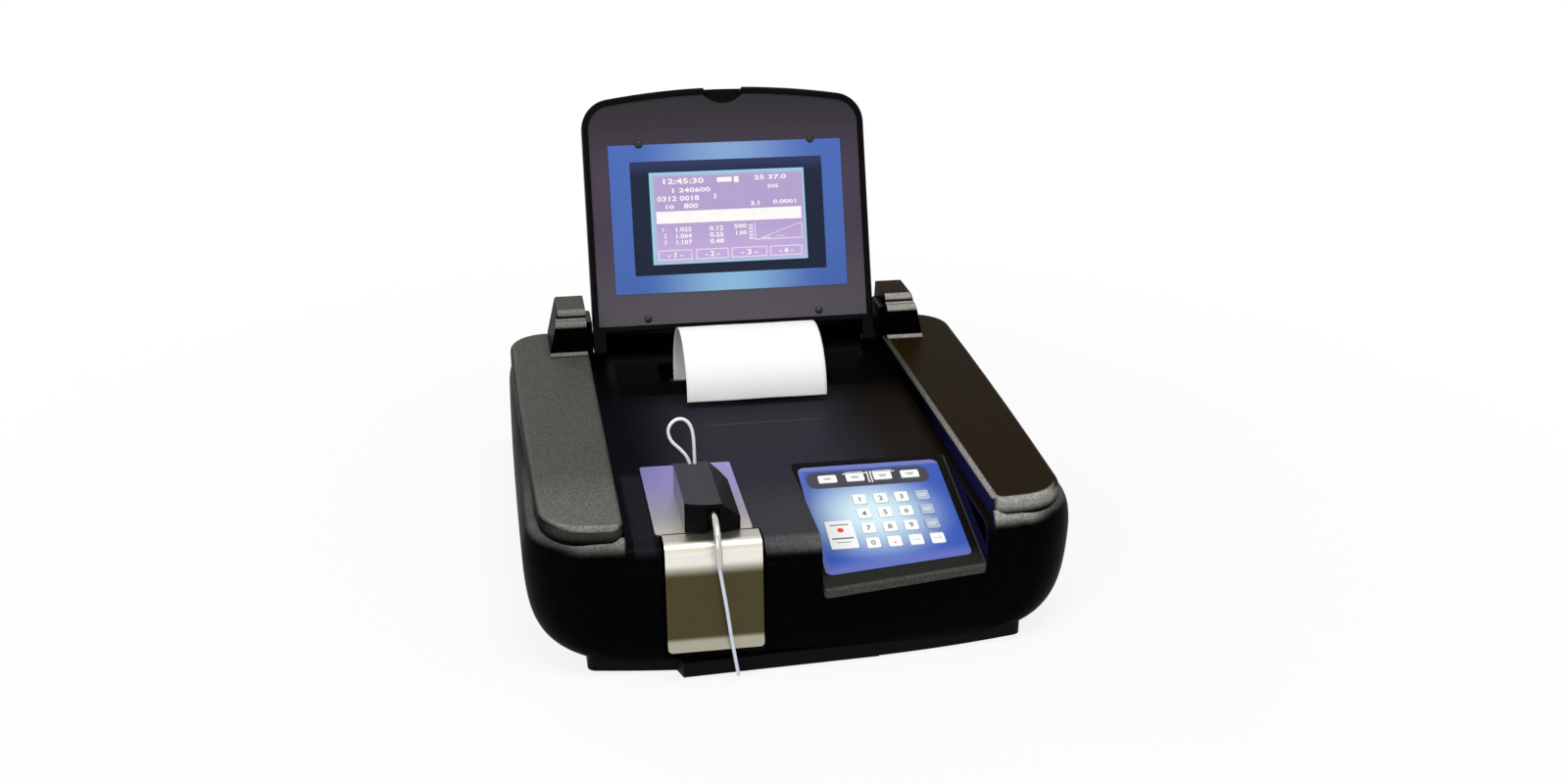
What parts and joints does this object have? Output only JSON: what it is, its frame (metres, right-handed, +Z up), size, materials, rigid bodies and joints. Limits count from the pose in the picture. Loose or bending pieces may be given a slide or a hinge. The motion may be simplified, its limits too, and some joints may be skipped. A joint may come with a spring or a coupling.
{
  "type": "benchtop chemistry analyzer",
  "caption": "Benchtop chemistry analyzer: low housing with a hinged display lid, sloped keypad, built-in printer and a sample probe over a push trigger plate.",
  "frame": {"origin": "on the bench, under the middle of the whole part with its lid open", "axes": "+X to the right of a user who faces the keypad, +Y to the back, +Z up"},
  "size_m": [0.38, 0.4464, 0.3064],
  "materials": {
    "housing_plastic": "fine grained black moulding",
    "lid_gloss": "glossy black moulding",
    "bezel_plastic": "mauve grey satin moulding",
    "panel_plastic": "plain dark grey",
    "block_plastic": "satin black engineering plastic",
    "rocker_plastic": "glossy black",
    "foot_rubber": "soft black rubber",
    "platen_rubber": "ground rubber sleeve",
    "display_film": "blue printed film with a dark surround",
    "keypad_film": "blue printed film",
    "key_white": "white domed key",
    "key_blue": "pale blue domed key",
    "screen_glass": "lit violet screen",
    "stainless": "satin stainless sheet",
    "sleeve_steel": "drawn stainless tube",
    "pin_steel": "turned steel",
    "spring_steel": "spring wire",
    "frame_steel": "zinc plated sheet",
    "screw_steel": "plated steel",
    "screw_black": "black coated dome heads",
    "motor_metal": "motor can",
    "anodised_aluminium": "black anodised",
    "lamp_glass": "clear bulb on a plain base",
    "circuit_board": "green board",
    "fitting_nylon": "natural nylon",
    "gear_nylon": "natural nylon",
    "thermal_paper": "plain white paper",
    "tube_clear": "translucent flexible tube",
    "tube_white": "white flexible tube"
  },
  "bodies": {
    "base_unit": {"upper_housing": "housing_plastic", "base_pan": "housing_plastic", "rubber_feet": "foot_rubber", "base_screws": "screw_steel", "rear_panel": "panel_plastic", "hinge_pins": "pin_steel", "keypad_tray": "housing_plastic", "keypad_overlay": "keypad_film", "keypad_board": "circuit_board", "flow_cell_plate": "stainless", "trigger_switch": "panel_plastic", "trigger_spring": "spring_steel", "printer_mechanism": "frame_steel", "printer_motor": "motor_metal", "printer_cover": "housing_plastic", "paper_strip": "thermal_paper", "optics_block": "anodised_aluminium", "lamp": "lamp_glass", "detector_board": "circuit_board", "filter_motor": "motor_metal", "pump_housing": "motor_metal", "main_board": "circuit_board", "waste_fitting": "fitting_nylon"},
    "display_lid": {"lid_shell": "lid_gloss", "lid_bezel": "bezel_plastic", "display_overlay": "display_film", "display_module": "screen_glass", "bezel_screws": "screw_black"},
    "paper_supply": {"paper_roll": "thermal_paper"},
    "platen": {"platen_roller": "platen_rubber"},
    "pinion": {"motor_pinion": "gear_nylon"},
    "filters": {"filter_wheel": "anodised_aluminium"},
    "rotor": {"pump_rotor": "gear_nylon"},
    "trigger": {"trigger_plate": "stainless"},
    "flow_cell": {"flow_cell_block": "block_plastic", "sipper_sleeve": "sleeve_steel", "sipper_tube": "tube_clear", "loop_tube": "tube_white"},
    "rocker": {"power_rocker": "rocker_plastic"},
    "menu_key_1_cap": {"menu_key_1": "key_white"},
    "menu_key_2_cap": {"menu_key_2": "key_white"},
    "menu_key_3_cap": {"menu_key_3": "key_white"},
    "menu_key_4_cap": {"menu_key_4": "key_white"},
    "key_1_cap": {"key_1": "key_white"},
    "key_2_cap": {"key_2": "key_white"},
    "key_3_cap": {"key_3": "key_white"},
    "side_key_1_cap": {"side_key_1": "key_blue"},
    "key_4_cap": {"key_4": "key_white"},
    "key_5_cap": {"key_5": "key_white"},
    "key_6_cap": {"key_6": "key_white"},
    "side_key_2_cap": {"side_key_2": "key_blue"},
    "key_7_cap": {"key_7": "key_white"},
    "key_8_cap": {"key_8": "key_white"},
    "key_9_cap": {"key_9": "key_white"},
    "side_key_3_cap": {"side_key_3": "key_blue"},
    "key_0_cap": {"key_0": "key_white"},
    "key_point_cap": {"key_point": "key_white"},
    "key_clear_cap": {"key_clear": "key_white"},
    "key_enter_cap": {"key_enter": "key_white"},
    "start_key_cap": {"start_key": "key_white"}
  },
  "joints": [
    {"name": "lid_hinge", "type": "hinge", "parent": "base_unit", "child": "display_lid", "pos_m": [0, 0.1385, 0.1035], "axis": [1, 0, 0], "range_deg": [0, 110], "deforming": ["paper_strip"]},
    {"name": "trigger_press", "type": "hinge", "parent": "base_unit", "child": "trigger", "pos_m": [0, -0.1945, 0.086], "axis": [1, 0, 0], "range_deg": [0, 2.5], "stiffness_Nm_per_rad": 0.6, "springref_deg": -6.88, "deforming": ["trigger_spring"]},
    {"name": "flow_cell_lift", "type": "slide", "parent": "base_unit", "child": "flow_cell", "axis": [0, 0, 1], "range_m": [0, 0.03]},
    {"name": "paper_roll_spin", "type": "hinge", "parent": "base_unit", "child": "paper_supply", "pos_m": [0, 0.083, 0.0588], "axis": [1, 0, 0], "continuous": true},
    {"name": "platen_spin", "type": "hinge", "parent": "base_unit", "child": "platen", "pos_m": [0, 0.124, 0.076], "axis": [1, 0, 0], "continuous": true},
    {"name": "pinion_spin", "type": "hinge", "parent": "base_unit", "child": "pinion", "pos_m": [0, 0.124, 0.058], "axis": [1, 0, 0], "continuous": true},
    {"name": "filter_wheel_spin", "type": "hinge", "parent": "base_unit", "child": "filters", "pos_m": [-0.099, -0.139, 0.053], "axis": [1, 0, 0], "continuous": true},
    {"name": "pump_rotor_spin", "type": "hinge", "parent": "base_unit", "child": "rotor", "pos_m": [0.06, -0.137, 0.008], "axis": [0, 0, 1], "continuous": true},
    {"name": "power_rocker_tilt", "type": "hinge", "parent": "base_unit", "child": "rocker", "pos_m": [0.086, 0.1663, 0.057], "axis": [1, 0, 0], "range_deg": [0, 16]},
    {"name": "menu_key_1_press", "type": "slide", "parent": "base_unit", "child": "menu_key_1_cap", "axis": [0, 0.2495, -0.9684], "range_m": [0, 0.0005], "stiffness_N_per_m": 900, "springref_m": -0.0006},
    {"name": "menu_key_2_press", "type": "slide", "parent": "base_unit", "child": "menu_key_2_cap", "axis": [0, 0.2495, -0.9684], "range_m": [0, 0.0005], "stiffness_N_per_m": 900, "springref_m": -0.0006},
    {"name": "menu_key_3_press", "type": "slide", "parent": "base_unit", "child": "menu_key_3_cap", "axis": [0, 0.2495, -0.9684], "range_m": [0, 0.0005], "stiffness_N_per_m": 900, "springref_m": -0.0006},
    {"name": "menu_key_4_press", "type": "slide", "parent": "base_unit", "child": "menu_key_4_cap", "axis": [0, 0.2495, -0.9684], "range_m": [0, 0.0005], "stiffness_N_per_m": 900, "springref_m": -0.0006},
    {"name": "key_1_press", "type": "slide", "parent": "base_unit", "child": "key_1_cap", "axis": [0, 0.2495, -0.9684], "range_m": [0, 0.0005], "stiffness_N_per_m": 900, "springref_m": -0.0006},
    {"name": "key_2_press", "type": "slide", "parent": "base_unit", "child": "key_2_cap", "axis": [0, 0.2495, -0.9684], "range_m": [0, 0.0005], "stiffness_N_per_m": 900, "springref_m": -0.0006},
    {"name": "key_3_press", "type": "slide", "parent": "base_unit", "child": "key_3_cap", "axis": [0, 0.2495, -0.9684], "range_m": [0, 0.0005], "stiffness_N_per_m": 900, "springref_m": -0.0006},
    {"name": "side_key_1_press", "type": "slide", "parent": "base_unit", "child": "side_key_1_cap", "axis": [0, 0.2495, -0.9684], "range_m": [0, 0.0005], "stiffness_N_per_m": 900, "springref_m": -0.0006},
    {"name": "key_4_press", "type": "slide", "parent": "base_unit", "child": "key_4_cap", "axis": [0, 0.2495, -0.9684], "range_m": [0, 0.0005], "stiffness_N_per_m": 900, "springref_m": -0.0006},
    {"name": "key_5_press", "type": "slide", "parent": "base_unit", "child": "key_5_cap", "axis": [0, 0.2495, -0.9684], "range_m": [0, 0.0005], "stiffness_N_per_m": 900, "springref_m": -0.0006},
    {"name": "key_6_press", "type": "slide", "parent": "base_unit", "child": "key_6_cap", "axis": [0, 0.2495, -0.9684], "range_m": [0, 0.0005], "stiffness_N_per_m": 900, "springref_m": -0.0006},
    {"name": "side_key_2_press", "type": "slide", "parent": "base_unit", "child": "side_key_2_cap", "axis": [0, 0.2495, -0.9684], "range_m": [0, 0.0005], "stiffness_N_per_m": 900, "springref_m": -0.0006},
    {"name": "key_7_press", "type": "slide", "parent": "base_unit", "child": "key_7_cap", "axis": [0, 0.2495, -0.9684], "range_m": [0, 0.0005], "stiffness_N_per_m": 900, "springref_m": -0.0006},
    {"name": "key_8_press", "type": "slide", "parent": "base_unit", "child": "key_8_cap", "axis": [0, 0.2495, -0.9684], "range_m": [0, 0.0005], "stiffness_N_per_m": 900, "springref_m": -0.0006},
    {"name": "key_9_press", "type": "slide", "parent": "base_unit", "child": "key_9_cap", "axis": [0, 0.2495, -0.9684], "range_m": [0, 0.0005], "stiffness_N_per_m": 900, "springref_m": -0.0006},
    {"name": "side_key_3_press", "type": "slide", "parent": "base_unit", "child": "side_key_3_cap", "axis": [0, 0.2495, -0.9684], "range_m": [0, 0.0005], "stiffness_N_per_m": 900, "springref_m": -0.0006},
    {"name": "key_0_press", "type": "slide", "parent": "base_unit", "child": "key_0_cap", "axis": [0, 0.2495, -0.9684], "range_m": [0, 0.0005], "stiffness_N_per_m": 900, "springref_m": -0.0006},
    {"name": "key_point_press", "type": "slide", "parent": "base_unit", "child": "key_point_cap", "axis": [0, 0.2495, -0.9684], "range_m": [0, 0.0005], "stiffness_N_per_m": 900, "springref_m": -0.0006},
    {"name": "key_clear_press", "type": "slide", "parent": "base_unit", "child": "key_clear_cap", "axis": [0, 0.2495, -0.9684], "range_m": [0, 0.0005], "stiffness_N_per_m": 900, "springref_m": -0.0006},
    {"name": "key_enter_press", "type": "slide", "parent": "base_unit", "child": "key_enter_cap", "axis": [0, 0.2495, -0.9684], "range_m": [0, 0.0005], "stiffness_N_per_m": 900, "springref_m": -0.0006},
    {"name": "start_key_press", "type": "slide", "parent": "base_unit", "child": "start_key_cap", "axis": [0, 0.2495, -0.9684], "range_m": [0, 0.0005], "stiffness_N_per_m": 900, "springref_m": -0.0006}
  ],
  "couplings": [
    {"joint": "platen_spin", "follows": "paper_roll_spin", "ratio": -3.3333},
    {"joint": "pinion_spin", "follows": "paper_roll_spin", "ratio": 6.6667}
  ]
}
